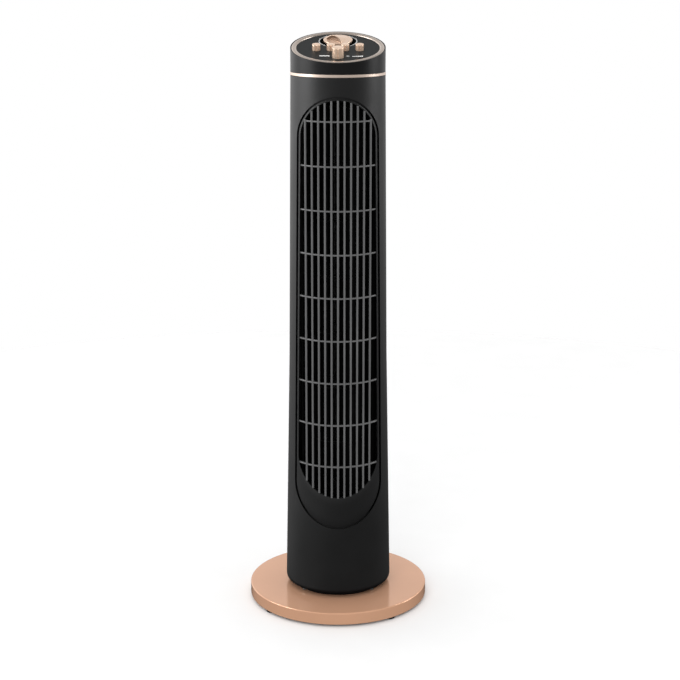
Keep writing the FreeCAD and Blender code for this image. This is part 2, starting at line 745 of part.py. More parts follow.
def timer_knob():
    """A low flange with an arched ramp that ends in an upright, scooped finger face."""
    flange = cylinder(timer_radius, -0.5, flange_top)
    flange = rounded(flange, 0.7, lambda c, e: c.z > flange_top - 0.1)
    lean = radians(ramp_slope)
    arch_start = FreeCAD.Vector(0, -60.0, ramp_height - arch_radius + (60.0 - face_reach) * tan(lean))
    arch = Part.makeCylinder(arch_radius, 120, arch_start, FreeCAD.Vector(0, cos(lean), -sin(lean)))
    ramp = cylinder(timer_radius - 2.4, 0.5, 30).common(arch).common(box(-30, 30, -face_reach, 30, 0, 30))
    ramp = ramp.cut(cylinder(scoop_radius, 0, 30, 0, scoop_depth - face_reach - scoop_radius))
    ramp = rounded(ramp, 0.8, lambda c, e: c.y < scoop_depth - face_reach and c.z > flange_top + 1)
    knob = flange.fuse(ramp).removeSplitter()
    knob.rotate(FreeCAD.Vector(0, 0, 0), up, ramp_turn)
    return knob


def timer_body():
    case = on_panel(box(-17, 17, -17, 17, -24.0, -5.2), 0, timer_slope)
    return case.cut(on_panel(cylinder(3.0 + running_fit, -12.5, 0), 0, timer_slope))


def casing_screws():
    """Long screws that go in from the rear and draw the two halves together."""
    screws = []
    for z in casing_screw_heights:
        for side in (-1, 1):
            x = side * (body_radius(z) - casing_screw_inset)
            shank = along_y(1.5, -10.0, 10.0, x, z)
            screws.append(shank.fuse(along_y(2.9, 10.0, 12.0, x, z)))
    return group(screws)


def panel_screws():
    """Screws that rise through the head's lugs into the panel's edge."""
    return group([on_lug(screw(0, 0, -12.0, -3.2, 1.5, 2.6), x, y) for x, y in panel_screw_places])


parts = {
    "base_cover": base_cover(),
    "base_plate": base_plate(),
    "base_feet": group([foot(x, y) for x, y in foot_places]),
    "base_screws": group([screw(x, y, plate_bottom, 14.0) for x, y in base_screw_places]),
    "swivel_hub": swivel_hub(),
    "hub_screws": group([screw(x, y, plate_bottom, plate_top + 1.8) for x, y in hub_screw_places]),
    "glide_ring": ring(track_outer - 0.2, track_inner + 0.2, track_top, floor_bottom - 0.2),
    "drive_slot": drive_slot(),
    "drive_slot_screws": group([screw(x, y, hub_floor_top - 1.6, hub_floor_top + 3.0, points_up=False)
                                for x, y in slot_lug_places]),
    "swivel_retainer": swivel_retainer(),
    "retainer_screws": group([screw(x, y, post_top - 7, retainer_top, 1.4, points_up=False)
                              for x, y in retainer_screw_places]),
    "crank": crank(),
    "crank_shaft": crank_shaft(),
    "drive_motor": drive_motor(),
    "drive_motor_screws": group([screw(x, crank_y, drive_motor_low - 6, drive_motor_low + 1.6, points_up=False)
                                 for x in (-drive_ear, drive_ear)]),
    "column_floor": column_floor(),
    "column_floor_screws": group([screw(x, y, floor_bottom, 36.0) for x, y in floor_screw_places]),
    "front_casing": casing_half(True),
    "rear_casing": casing_half(False),
    "casing_screws": casing_screws(),
    "front_grille": front_grille(),
    "rear_grille": rear_grille(),
    "air_guide": air_guide(),
    "air_tongue": air_tongue(),
    "motor_case_lower": motor_case(True),
    "motor_case_upper": motor_case(False),
    "motor_stator": motor_stator(),
    "motor_windings": motor_windings(),
    "motor_bearings": motor_bearings(),
    "motor_deck": motor_deck(),
    "motor_mounts": motor_mounts(),
    "motor_screws": group([screw(x, y, case_top - 5, deck_bottom + plate, 1.9, 3.5, points_up=False)
                           for x, y in mount_places]),
    "motor_rotor": ring(stator_bore - 0.7, shaft_radius, stator_bottom - 1, stator_top + 1, 0, blower_y),
    "motor_shaft": cylinder(shaft_radius, case_bottom - 1, wheel_bottom + 8, 0, blower_y),
    "wheel_coupling": wheel_coupling(),
    "blower_wheel": blower_wheel(),
    "wheel_pin": wheel_pin(),
    "duct_roof": duct_roof(),
    "bearing_cup": bearing_cup(),
    "top_bearing": top_bearing(),
    "run_capacitor": run_capacitor(),
    "capacitor_clip": capacitor_clip(),
    "terminal_block": terminal_block(),
    "cord_gland": cord_gland(),
    "wiring_harness": wiring_harness(),
    "trim_band": trim_band(),
    "head_shell": head_shell(),
    "panel_ring": panel_ring(),
    "control_panel": control_panel(),
    "panel_screws": panel_screws(),
    "speed_switch": switch_body(38.0, 8.0, -8.6, 21.0, key_places, key_slope, key_travel),
    "oscillation_switch": switch_body(9.0, 7.5, -9.4, 17.0, [0.0], knob_slope, knob_travel),
    "oscillation_knob": on_panel(push_cap(knob_radius, knob_height, knob_travel, 2.2), 0, knob_slope),
    "timer_body": timer_body(),
    "timer_spindle": on_panel(cylinder(3.0, -12.0, -0.5), 0, timer_slope),
    "timer_knob": on_panel(timer_knob(), 0, timer_slope),
}
for number, x in enumerate(key_places):
    parts[f"speed_button_{number}"] = on_panel(push_cap(key_radius, key_height, key_travel, 1.6), x, key_slope)

for name, shape in parts.items():
    save(name, shape)
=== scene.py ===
import json
from math import acos, cos, exp, hypot, pi, radians, sin, sqrt, tan

import bmesh
import bpy
from mathutils import Matrix, Vector

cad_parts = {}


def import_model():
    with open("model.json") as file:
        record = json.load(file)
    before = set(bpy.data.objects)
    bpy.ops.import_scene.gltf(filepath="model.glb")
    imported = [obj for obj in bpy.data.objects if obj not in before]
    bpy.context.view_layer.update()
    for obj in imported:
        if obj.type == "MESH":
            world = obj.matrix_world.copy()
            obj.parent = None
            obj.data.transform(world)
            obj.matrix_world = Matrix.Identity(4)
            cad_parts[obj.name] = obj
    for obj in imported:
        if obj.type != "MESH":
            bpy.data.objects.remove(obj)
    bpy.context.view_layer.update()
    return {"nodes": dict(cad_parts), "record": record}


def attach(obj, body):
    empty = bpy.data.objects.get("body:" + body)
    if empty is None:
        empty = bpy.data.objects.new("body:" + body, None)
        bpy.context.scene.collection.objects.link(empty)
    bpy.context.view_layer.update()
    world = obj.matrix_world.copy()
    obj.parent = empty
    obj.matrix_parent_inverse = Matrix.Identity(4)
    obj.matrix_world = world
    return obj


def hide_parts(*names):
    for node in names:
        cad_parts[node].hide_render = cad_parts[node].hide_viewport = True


# The tower fan's looks: materials for every CAD node, finer meshes for the trim and the controls,
# the printed marks, a pale floor, soft light and the camera. Everything is in metres.
MM = 0.001
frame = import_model()
nodes = frame["nodes"]
joints = {joint["name"]: joint for joint in frame["record"]["behaviour"]["joints"]}


# ---------------------------------------------------------------- shader helpers

# The Mix node's sockets for colours; its sockets for other kinds of data share their names.
MIX_FACTOR, MIX_COLOUR_A, MIX_COLOUR_B, MIX_COLOUR_OUT = 0, 6, 7, 2

def new_material(name):
    """A material with only a Principled shader and its output, and its node tree."""
    material = bpy.data.materials.new(name)
    material.use_nodes = True
    tree = material.node_tree
    tree.nodes.clear()
    output = tree.nodes.new("ShaderNodeOutputMaterial")
    shader = tree.nodes.new("ShaderNodeBsdfPrincipled")
    tree.links.new(shader.outputs["BSDF"], output.inputs["Surface"])
    return material, tree, shader


def object_coordinates(tree, stretch=(1.0, 1.0, 1.0)):
    """Object coordinates in metres, stretched for grain that runs one way."""
    place = tree.nodes.new("ShaderNodeTexCoord")
    mapping = tree.nodes.new("ShaderNodeMapping")
    mapping.inputs["Scale"].default_value = stretch
    tree.links.new(place.outputs["Object"], mapping.inputs["Vector"])
    return mapping.outputs["Vector"]


def turned_coordinates(tree):
    """Distance from the Z axis, and height, so that grain runs round like a lathe's marks."""
    place = tree.nodes.new("ShaderNodeTexCoord")
    parts = tree.nodes.new("ShaderNodeSeparateXYZ")
    flat = tree.nodes.new("ShaderNodeCombineXYZ")
    reach = tree.nodes.new("ShaderNodeVectorMath")
    reach.operation = "LENGTH"
    joined = tree.nodes.new("ShaderNodeCombineXYZ")
    tree.links.new(place.outputs["Object"], parts.inputs["Vector"])
    tree.links.new(parts.outputs["X"], flat.inputs["X"])
    tree.links.new(parts.outputs["Y"], flat.inputs["Y"])
    tree.links.new(flat.outputs["Vector"], reach.inputs[0])
    tree.links.new(reach.outputs["Value"], joined.inputs["X"])
    tree.links.new(parts.outputs["Z"], joined.inputs["Z"])
    return joined.outputs["Vector"]


def noise(tree, vector, scale, detail=2.0, roughness=0.5):
    """Noise between 0 and 1, with its middle near 0.5."""
    texture = tree.nodes.new("ShaderNodeTexNoise")
    texture.inputs["Scale"].default_value = scale
    texture.inputs["Detail"].default_value = detail
    texture.inputs["Roughness"].default_value = roughness
    tree.links.new(vector, texture.inputs["Vector"])
    return texture.outputs["Fac"]


def spread(tree, value, low, high, start=0.3, end=0.7, smooth=False):
    """Maps a value from start..end onto low..high."""
    remap = tree.nodes.new("ShaderNodeMapRange")
    if smooth:
        remap.interpolation_type = "SMOOTHSTEP"
    remap.inputs["From Min"].default_value = start
    remap.inputs["From Max"].default_value = end
    remap.inputs["To Min"].default_value = low
    remap.inputs["To Max"].default_value = high
    tree.links.new(value, remap.inputs["Value"])
    return remap.outputs["Result"]


def blend_colours(tree, value, first, second):
    """The first colour where the value is 0, the second where it is 1."""
    mix = tree.nodes.new("ShaderNodeMix")
    mix.data_type = "RGBA"
    mix.inputs[MIX_COLOUR_A].default_value = (*first, 1.0)
    mix.inputs[MIX_COLOUR_B].default_value = (*second, 1.0)
    tree.links.new(value, mix.inputs[MIX_FACTOR])
    return mix.outputs[MIX_COLOUR_OUT]


def multiply(tree, first, second):
    """The product of two values."""
    product = tree.nodes.new("ShaderNodeMath")
    product.operation = "MULTIPLY"
    tree.links.new(first, product.inputs[0])
    tree.links.new(second, product.inputs[1])
    return product.outputs["Value"]


def bump(tree, shader, height, strength, distance):
    """Relief in the shading only, this deep in metres."""
    node = tree.nodes.new("ShaderNodeBump")
    node.inputs["Strength"].default_value = strength
    node.inputs["Distance"].default_value = distance
    tree.links.new(height, node.inputs["Height"])
    tree.links.new(node.outputs["Normal"], shader.inputs["Normal"])


def plastic(name, colour, roughness, grain_mm, grain_depth_mm, gloss=0.5, lighter=1.25):
    """Moulded plastic: fine grain in the surface, slow changes of tone and gloss."""
    material, tree, shader = new_material(name)
    where = object_coordinates(tree)
    slow = noise(tree, where, 14.0, 3.0)
    fine = noise(tree, where, 1.0 / (grain_mm * MM), 1.0)
    second = [min(channel * lighter, 1.0) for channel in colour]
    tone = blend_colours(tree, spread(tree, slow, 0.0, 1.0), colour, second)
    tree.links.new(tone, shader.inputs["Base Color"])
    tree.links.new(spread(tree, slow, roughness - 0.03, roughness + 0.03), shader.inputs["Roughness"])
    shader.inputs["Specular IOR Level"].default_value = gloss
    bump(tree, shader, fine, 0.35, grain_depth_mm * MM)
    return material


def metal(name, colour, roughness, metallic=1.0, scale=1500.0, stretch=(1.0, 1.0, 1.0), depth_mm=0.02,
          turned=False, lighter=1.08):
    """Metal, plating or metallic paint, with fine streaks or flakes."""
    material, tree, shader = new_material(name)
    where = turned_coordinates(tree) if turned else object_coordinates(tree, stretch)
    streaks = noise(tree, where, scale, 3.0, 0.6)
    slow = noise(tree, object_coordinates(tree), 18.0, 2.0)
    second = [min(channel * lighter, 1.0) for channel in colour]
    tone = blend_colours(tree, spread(tree, slow, 0.0, 1.0), colour, second)
    tree.links.new(tone, shader.inputs["Base Color"])
    tree.links.new(spread(tree, streaks, roughness - 0.04, roughness + 0.05), shader.inputs["Roughness"])
    shader.inputs["Metallic"].default_value = metallic
    bump(tree, shader, streaks, 0.25, depth_mm * MM)
    return material


looks = {
    "matt_black": plastic("matt_black", (0.0062, 0.0063, 0.0065), 0.42, 0.35, 0.04, 0.42),
    "satin_black": plastic("satin_black", (0.0040, 0.0040, 0.0042), 0.36, 0.35, 0.02, 0.24),
    "charcoal_panel": plastic("charcoal_panel", (0.0165, 0.0180, 0.0180), 0.45, 0.25, 0.02, 0.04),
    "black_moulding": plastic("black_moulding", (0.0030, 0.0030, 0.0031), 0.60, 0.6, 0.06, 0.15),
    "foot_rubber": plastic("foot_rubber", (0.012, 0.012, 0.012), 0.75, 0.5, 0.10, 0.3),
    "white_acetal": plastic("white_acetal", (0.74, 0.73, 0.69), 0.35, 0.8, 0.03, 0.5, 1.06),
    "switch_plastic": plastic("switch_plastic", (0.05, 0.05, 0.055), 0.45, 0.5, 0.04),
    "lead_sleeve": plastic("lead_sleeve", (0.02, 0.02, 0.02), 0.55, 0.8, 0.08),
    "rose_gold_metallic": metal("rose_gold_metallic", (0.60, 0.335, 0.210), 0.12, 0.28, 5000.0,
                                depth_mm=0.004, turned=True, lighter=1.05),
    "champagne_trim": metal("champagne_trim", (0.76, 0.62, 0.53), 0.36, 0.75, 2600.0, depth_mm=0.004),
    "polished_rose_gold": metal("polished_rose_gold", (0.82, 0.60, 0.45), 0.22, 0.55, 900.0,
                                depth_mm=0.005),
    "zinc_screw": metal("zinc_screw", (0.60, 0.60, 0.58), 0.32),
    "pressed_steel": metal("pressed_steel", (0.50, 0.51, 0.52), 0.34, scale=500.0, stretch=(1, 1, 8)),
    "laminated_steel": metal("laminated_steel", (0.28, 0.28, 0.29), 0.45, scale=2500.0,
                             stretch=(0.05, 0.05, 1), depth_mm=0.10),
    "bright_shaft": metal("bright_shaft", (0.66, 0.66, 0.67), 0.20, stretch=(0.2, 0.2, 4), depth_mm=0.01),
    "copper_wire": metal("copper_wire", (0.55, 0.22, 0.10), 0.30, scale=1800.0, stretch=(0.1, 0.1, 1),
                         depth_mm=0.20, lighter=1.2),
    "bronze_bush": metal("bronze_bush", (0.52, 0.36, 0.17), 0.40, scale=2000.0, depth_mm=0.05,
                         lighter=1.15),
}
ring_trim = metal("ring_trim", (0.56, 0.48, 0.42), 0.24, 0.85, 2600.0, depth_mm=0.004)
grille_black = plastic("grille_black", (0.085, 0.085, 0.086), 0.36, 0.35, 0.03, 0.5)
dial_black = plastic("dial_black", (0.0008, 0.0008, 0.0008), 0.50, 0.5, 0.01, 0.0)
print_white = plastic("print_white", (0.80, 0.80, 0.79), 0.5, 0.3, 0.01, 0.4, 1.05)

slot_of = {entry["node"]: entry["material_slot"] for entry in frame["record"]["subparts"]}
for node_name, node in nodes.items():
    node.data.materials.clear()
    node.data.materials.append(looks[slot_of[node_name]])


FINGER_FACE_TURN = -38.0
FLANGE_TOP = 2.12 * MM
FACE_EDGE = 0.05 * MM
KNOB_TONE = (0.78, 0.57, 0.43)
# Painted shade: the dark copper that stands in for the shade on the timer knob's finger face.
FINGER_FACE_PAINTED_SHADE = (0.145, 0.085, 0.052)
TURNED_AWAY, TURNED_TO = 0.80, 0.90


def knob_metal_with_painted_shade():
    """The timer knob's metal, with shade painted onto its finger face as a darker, less metallic copper."""
    material, tree, shader = new_material("knob_rose_gold_painted_shade")
    where = object_coordinates(tree)
    streaks = noise(tree, where, 900.0, 3.0, 0.6)
    joint = joints["timer_turn"]
    axis = Vector(joint["axis"]).normalized()
    facing = Matrix.Rotation(radians(FINGER_FACE_TURN), 3, axis) @ axis.cross(Vector((-1.0, 0.0, 0.0)))
    place = tree.nodes.new("ShaderNodeTexCoord")

    def along(output, direction):
        product = tree.nodes.new("ShaderNodeVectorMath")
        product.operation = "DOT_PRODUCT"
        product.inputs[1].default_value = direction
        tree.links.new(place.outputs[output], product.inputs[0])
        return product.outputs["Value"]
    # Painted shade: surfaces turned towards `facing` above the flange get the dark copper and less metal,
    # standing in for the shade on the finger face.
    turned = spread(tree, along("Normal", facing), 0.0, 1.0, TURNED_AWAY, TURNED_TO)
    lowest = min(vertex.co.dot(axis) for vertex in nodes["timer_knob"].data.vertices)
    start = lowest + FLANGE_TOP
    above = spread(tree, along("Object", axis), 0.0, 1.0, start, start + FACE_EDGE)
    painted_shade_mask = multiply(tree, turned, above)
    tree.links.new(blend_colours(tree, painted_shade_mask, KNOB_TONE, FINGER_FACE_PAINTED_SHADE), shader.inputs["Base Color"])
    tree.links.new(spread(tree, streaks, 0.18, 0.26), shader.inputs["Roughness"])
    tree.links.new(spread(tree, painted_shade_mask, 0.60, 0.15, 0.0, 1.0), shader.inputs["Metallic"])
    bump(tree, shader, streaks, 0.25, 0.005 * MM)
    return material


nodes["timer_knob"].data.materials[0] = knob_metal_with_painted_shade()


# ---------------------------------------------------------------- mesh helpers

def finish_piece(name, shape, material, body, replaced=(), sharp=35.0):
    """Turns a bmesh into a piece that rides on a body."""
    bmesh.ops.recalc_face_normals(shape, faces=shape.faces[:])
    mesh = bpy.data.meshes.new(name)
    shape.to_mesh(mesh)
    shape.free()
    mesh.shade_smooth()
    mesh.set_sharp_from_angle(angle=radians(sharp))
    mesh.materials.append(material)
    piece = bpy.data.objects.new(name, mesh)
    bpy.context.scene.collection.objects.link(piece)
    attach(piece, body)
    if replaced:
        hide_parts(*replaced)
    return piece


def round_outline(corners, steps=4):
    """An outline in a plane from (across, up, corner radius) entries, its corners turned into arcs."""
    outline = []
    for index, (across, up, radius) in enumerate(corners):
        corner = Vector((across, up))
        before = (Vector(corners[index - 1][:2]) - corner).normalized()
        after = (Vector(corners[(index + 1) % len(corners)][:2]) - corner).normalized()
        half = acos(max(-1.0, min(1.0, before.dot(after)))) / 2.0
        centre = corner + (before + after).normalized() * radius / sin(half)
        start = corner + before * radius / tan(half) - centre
        end = corner + after * radius / tan(half) - centre
        outline += [centre + start.slerp(end, step / steps) * radius for step in range(steps + 1)]
    return outline


def join_rings(shape, first, second):
    """Faces between two rings of equally many vertices."""
    for n in range(len(first)):
        after = (n + 1) % len(first)
        shape.faces.new((first[n], first[after], second[after], second[n]))


def lathe(shape, outline, steps, place):
    """A turned ring. Each outline point is (radius, height); place(radius, angle, height) puts it."""
    rings = []
    for reach, height in outline:
        rings.append([shape.verts.new(place(reach, 2.0 * pi * n / steps, height)) for n in range(steps)])
    for lower, upper in zip(rings, rings[1:] + rings[:1]):
        join_rings(shape, lower, upper)


def sweep(shape, sections):
    """A closed solid through equal rings of places, capped at both ends."""
    rows = [[shape.verts.new(place) for place in section] for section in sections]
    for first, second in zip(rows, rows[1:]):
        join_rings(shape, first, second)
    shape.faces.new(rows[0][::-1])
    shape.faces.new(rows[-1])


def strip(shape, path, width, low, high, place):
    """A flat stroke of even width along an open path of (across, along) points."""
    left, right = [], []
    for index, point in enumerate(path):
        before = Vector(path[max(index - 1, 0)])
        after = Vector(path[min(index + 1, len(path) - 1)])
        way = (after - before).normalized()
        side = Vector((-way.y, way.x)) * width / 2.0
        left.append(Vector(point) + side)
        right.append(Vector(point) - side)
    rows = [[shape.verts.new(place(*at, height)) for at in line]
            for line, height in ((left, low), (right, low), (right, high), (left, high))]
    for first, second in zip(rows, rows[1:] + rows[:1]):
        for n in range(len(path) - 1):
            shape.faces.new((first[n], second[n], second[n + 1], first[n + 1]))
    shape.faces.new([row[0] for row in rows])
    shape.faces.new([row[-1] for row in rows[::-1]])


def circle_path(centre, reach, start, end, steps):
    """Points on a circle from one angle to another, in degrees."""
    angles = [radians(start + (end - start) * n / steps) for n in range(steps + 1)]
    return [(centre[0] + reach * cos(a), centre[1] + reach * sin(a)) for a in angles]


# ---------------------------------------------------------------- the sloping top

normal = Vector(joints["timer_turn"]["axis"]).normalized()
uphill = normal.cross(Vector((1.0, 0.0, 0.0)))
slope = Matrix((Vector((1.0, 0.0, 0.0)), uphill, normal)).transposed().to_4x4()
slope.translation = Vector(joints["timer_turn"]["pos_m"])
slope_back = slope.inverted()


def on_slope(across, along, height):
    """A place from the timer's axis: across to the right, along up the slope, height off it."""
    return slope @ Vector((across, along, height))


def slope_box(name):
    """A CAD node's lowest and highest corner in the slope's own directions."""
    places = [slope_back @ vertex.co for vertex in nodes[name].data.vertices]
    low = Vector([min(place[axis] for place in places) for axis in range(3)])
    high = Vector([max(place[axis] for place in places) for axis in range(3)])
    return low, high


panel_face = slope_box("control_panel")[1].z
PRINT_HEIGHT = 0.04 * MM


# ---------------------------------------------------------------- front grille

# COLUMN: (height, radius) at its foot, waist and top. INSERT, WINDOW: the slots' top radius and centre
# height, then their bottom radius and centre height. ROUNDS: edge radii in front and behind.
COLUMN = ((22.6 * MM, 68.8 * MM), (330.0 * MM, 62.7 * MM), (685.2 * MM, 59.0 * MM))
INSERT = (48.1 * MM, 612.3 * MM, 53.3 * MM, 169.0 * MM)
WINDOW = (45.7 * MM, 612.3 * MM, 50.5 * MM, 205.2 * MM)
PLATE_EDGE = 0.9 * MM
FLANGE_FRONT = 2.3 * MM
FLANGE_BACK = 4.4 * MM
FLANGE_REACH = 5.2 * MM
BARS, BAR_PITCH, BAR_WIDTH, BAR_DEPTH = 11, 8.0 * MM, 2.6 * MM, 9.0 * MM
BAR_SINK = 0.15 * MM
BAR_ROUNDS = (1.0 * MM, 0.3 * MM)
RIBS, RIB_PITCH, RIB_HEIGHT, RIB_DEPTH = 9, 54.6 * MM, 2.0 * MM, 2.7 * MM
TOP_RIB = 632.5 * MM
RIB_SINK = 0.7 * MM
RIB_ROUNDS = (0.7 * MM, 0.2 * MM)
END_OVERLAP = 0.4 * MM
INTAKE_HEIGHTS = (196.0 * MM, 622.0 * MM)
INTAKE_PLACES = (33.0 * MM, 35.8 * MM, 38.6 * MM)
INTAKE_SINKS = (0.5 * MM, 2.9 * MM)
SIDE_STEPS = 40
ARC_STEPS = 48
BAR_STEPS = 16
RIB_STEPS = 32
INTAKE_STEPS = 24


def column_radius(height):
    """The column's outer radius: two cones that meet at its waist."""
    bottom, waist, top = COLUMN
    (low, wide), (high, slim) = (bottom, waist) if height < waist[0] else (waist, top)
    return wide + (slim - wide) * (height - low) / (high - low)


def on_column(across, height, sink):
    """A place on the column's front, this far under its surface."""
    reach = column_radius(height) - sink
    return Vector((across, -sqrt(max(reach * reach - across * across, 0.0)), height))


def slot_outline(dims, grow, steps):
    """Points round an upright slot with a round top and bottom, from its right side over the top."""
    top_radius, top_centre, bottom_radius, bottom_centre = dims
    over = circle_path((0.0, top_centre), top_radius + grow, 0.0, 180.0, steps)
    under = circle_path((0.0, bottom_centre), bottom_radius + grow, 180.0, 360.0, steps)

    def between(start, end):
        across, up = end[0] - start[0], end[1] - start[1]
        return [(start[0] + across * n / SIDE_STEPS, start[1] + up * n / SIDE_STEPS)
                for n in range(1, SIDE_STEPS)]
    return over + between(over[-1], under[0]) + under + between(under[-1], over[0])


def grille_plate():
    """The insert between the groove and the window, with rolled edges and a flange behind the casing."""
    shape = bmesh.new()
    outer = slot_outline(INSERT, 0.0, ARC_STEPS)
    inner = slot_outline(WINDOW, 0.0, ARC_STEPS)
    flange = slot_outline(INSERT, FLANGE_REACH, ARC_STEPS)
    layers = [(0.0, PLATE_EDGE)]
    for angle in (30.0, 60.0, 90.0):
        layers.append((-PLATE_EDGE * (1.0 - cos(radians(angle))), PLATE_EDGE * (1.0 - sin(radians(angle)))))
    rows = []

    def row(outline, sink):
        rows.append([shape.verts.new(on_column(x, z, sink)) for x, z in outline])

    def rows_between(first, last, sink):
        for share in (0.25, 0.5, 0.75):
            row([(x + (far_x - x) * share, z + (far_z - z) * share)
                 for (x, z), (far_x, far_z) in zip(first, last)], sink)
    row(outer, FLANGE_FRONT)
    for inset, sink in layers:
        row(slot_outline(INSERT, inset, ARC_STEPS), sink)
    rows_between(outer, inner, 0.0)
    for inset, sink in layers[::-1]:
        row(slot_outline(WINDOW, -inset, ARC_STEPS), sink)
    row(inner, FLANGE_BACK)
    rows_between(inner, flange, FLANGE_BACK)
    row(flange, FLANGE_BACK)
    row(flange, FLANGE_FRONT)
    for first, second in zip(rows, rows[1:] + rows[:1]):
        join_rings(shape, first, second)
    finish_piece("grille_plate", shape, looks["matt_black"], "column", ["front_grille"], 60.0)


def window_reach(height):
    """Half the window's width at this height, or nothing outside it."""
    top_radius, top_centre, bottom_radius, bottom_centre = WINDOW
    if height > top_centre:
        return sqrt(max(top_radius ** 2 - (height - top_centre) ** 2, 0.0))
    if height < bottom_centre:
        return sqrt(max(bottom_radius ** 2 - (height - bottom_centre) ** 2, 0.0))
    share = (height - bottom_centre) / (top_centre - bottom_centre)
    return bottom_radius + (top_radius - bottom_radius) * share


def grille_bars():
    """Upright bars with rounded fronts; each follows the column's two cones."""
    shape = bmesh.new()
    half = BAR_WIDTH / 2.0
    front, back = BAR_ROUNDS
    profile = round_outline([(-half, 0.0, front), (half, 0.0, front), (half, BAR_DEPTH, back),
                             (-half, BAR_DEPTH, back)])
    top_radius, top_centre, bottom_radius, bottom_centre = WINDOW
    for n in range(BARS):
        middle = (n - (BARS - 1) / 2.0) * BAR_PITCH
        high = top_centre + sqrt(top_radius ** 2 - middle ** 2) + END_OVERLAP
        low = bottom_centre - sqrt(bottom_radius ** 2 - middle ** 2) - END_OVERLAP
        heights = {low + (high - low) * k / BAR_STEPS for k in range(BAR_STEPS + 1)} | {COLUMN[1][0]}
        sections = []
        for height in sorted(heights):
            face = on_column(middle, height, BAR_SINK)
            sections.append([face + Vector((x, depth, 0.0)) for x, depth in profile])
        sweep(shape, sections)
    finish_piece("grille_bars", shape, grille_black, "column", ["front_grille"], 50.0)


def grille_ribs():
    """Level ribs just behind the bars' fronts, curved with the column."""
    shape = bmesh.new()
    half = RIB_HEIGHT / 2.0
    front, back = RIB_ROUNDS
    deepest = RIB_SINK + RIB_DEPTH
    profile = round_outline([(-half, RIB_SINK, front), (half, RIB_SINK, front), (half, deepest, back),
                             (-half, deepest, back)])
    for n in range(RIBS):
        height = TOP_RIB - n * RIB_PITCH
        reach = window_reach(height) + END_OVERLAP
        sections = []
        for k in range(RIB_STEPS + 1):
            across = -reach + 2.0 * reach * k / RIB_STEPS
            sections.append([on_column(across, height + up, sink) for up, sink in profile])
        sweep(shape, sections)
    finish_piece("grille_ribs", shape, grille_black, "column", ["front_grille"], 50.0)


def intake_ribs():
    """Two upright ribs that frame the rear grille's slats on the inside."""
    shape = bmesh.new()
    low, high = INTAKE_HEIGHTS
    outside, inside = INTAKE_SINKS
    profile = [(across, outside) for across in INTAKE_PLACES]
    profile += [(across, inside) for across in INTAKE_PLACES[::-1]]
    for side in (-1.0, 1.0):
        sections = []
        for k in range(INTAKE_STEPS + 1):
            height = low + (high - low) * k / INTAKE_STEPS
            places = [on_column(side * across, height, sink) for across, sink in profile]
            sections.append([Vector((place.x, -place.y, place.z)) for place in places])
        sweep(shape, sections)
    finish_piece("intake_ribs", shape, looks["matt_black"], "column")


grille_plate()
grille_bars()
grille_ribs()
intake_ribs()


# ---------------------------------------------------------------- trim ring and push caps

RING_CROWN = 1.15 * MM
CROWN_POWER = 2.4
CROWN_STEPS = 12
RING_STEPS = 192
CAP_ROOT = 3.6 * MM
CAP_BEVEL = 0.5 * MM
CAP_STEPS = 144
STEM = (2.5 * MM, 1.5 * MM)
STEM_OVERLAP = 0.5 * MM
GROOVE_DEPTH = 1.0 * MM
GROOVE_WIDTH = 0.55 * MM
FRONT = 1.5 * pi


def panel_trim():
    """The ring round the panel: upright sides, a crowned top, cut off along the slope."""
    low, high = [corner.z for corner in slope_box("panel_ring")]
    reaches = [hypot(vertex.co.x, vertex.co.y) for vertex in nodes["panel_ring"].data.vertices]
    inner, outer = min(reaches), max(reaches)
    start = slope.translation

    def on_ring(reach, angle, height):
        x, y = reach * cos(angle), reach * sin(angle)
        level = start.z - (normal.x * (x - start.x) + normal.y * (y - start.y)) / normal.z
        return Vector((x, y, level + height / normal.z))
    outline = [(inner, low), (outer, low)]
    for n in range(CROWN_STEPS + 1):
        share = 1.0 - n / CROWN_STEPS
        crown = RING_CROWN * abs(2.0 * share - 1.0) ** CROWN_POWER
        outline.append((inner + (outer - inner) * share, high - crown))
    shape = bmesh.new()
    lathe(shape, outline, RING_STEPS, on_ring)
    finish_piece("panel_trim", shape, ring_trim, "column", ["panel_ring"], 50.0)


def push_cap(name):
    """A round cap with a flat top and a fine upright groove in front, on the stem of its CAD node."""
    low, high = slope_box(name)
    radius = (high.x - low.x) / 2.0
    middle = Vector(((high.x + low.x) / 2.0, (high.y + low.y) / 2.0))
    root = panel_face - CAP_ROOT

    def cap_ring(inset, height):
        ring = []
        for n in range(CAP_STEPS):
            angle = 2.0 * pi * n / CAP_STEPS
            off_front = radius * (angle - FRONT) / GROOVE_WIDTH
            reach = radius - inset - GROOVE_DEPTH * exp(-off_front * off_front)
            ring.append(on_slope(middle.x + reach * cos(angle), middle.y + reach * sin(angle), height))
        return ring
    shape = bmesh.new()
    rows = [cap_ring(0.0, root)]
    for angle in (0.0, 22.5, 45.0, 67.5, 90.0):
        inset, drop = CAP_BEVEL * (1.0 - cos(radians(angle))), CAP_BEVEL * (1.0 - sin(radians(angle)))
        rows.append(cap_ring(inset, high.z - drop))
    sweep(shape, rows)
    half_x, half_s = STEM
    corners = [(-half_x, -half_s), (half_x, -half_s), (half_x, half_s), (-half_x, half_s)]
    sweep(shape, [[on_slope(middle.x + x, middle.y + s, height) for x, s in corners]
                  for height in (low.z, root + STEM_OVERLAP)])
    slot = slot_of[name]
    finish_piece(name + "_cap", shape, looks[slot], name, [name], 40.0)


panel_trim()
for control in sorted(nodes):
    if control.startswith("speed_button") or control == "oscillation_knob":
        push_cap(control)


# ---------------------------------------------------------------- printed marks

SCALE_RADIUS = 23.6 * MM
SCALE_LINE = 0.55 * MM
SCALE_GAP = 41.0
TICKS = 9
TICK_LENGTH = 1.5 * MM
DIAL_RADIUS = 22.0 * MM
DIAL_OVERLAP = 0.6 * MM
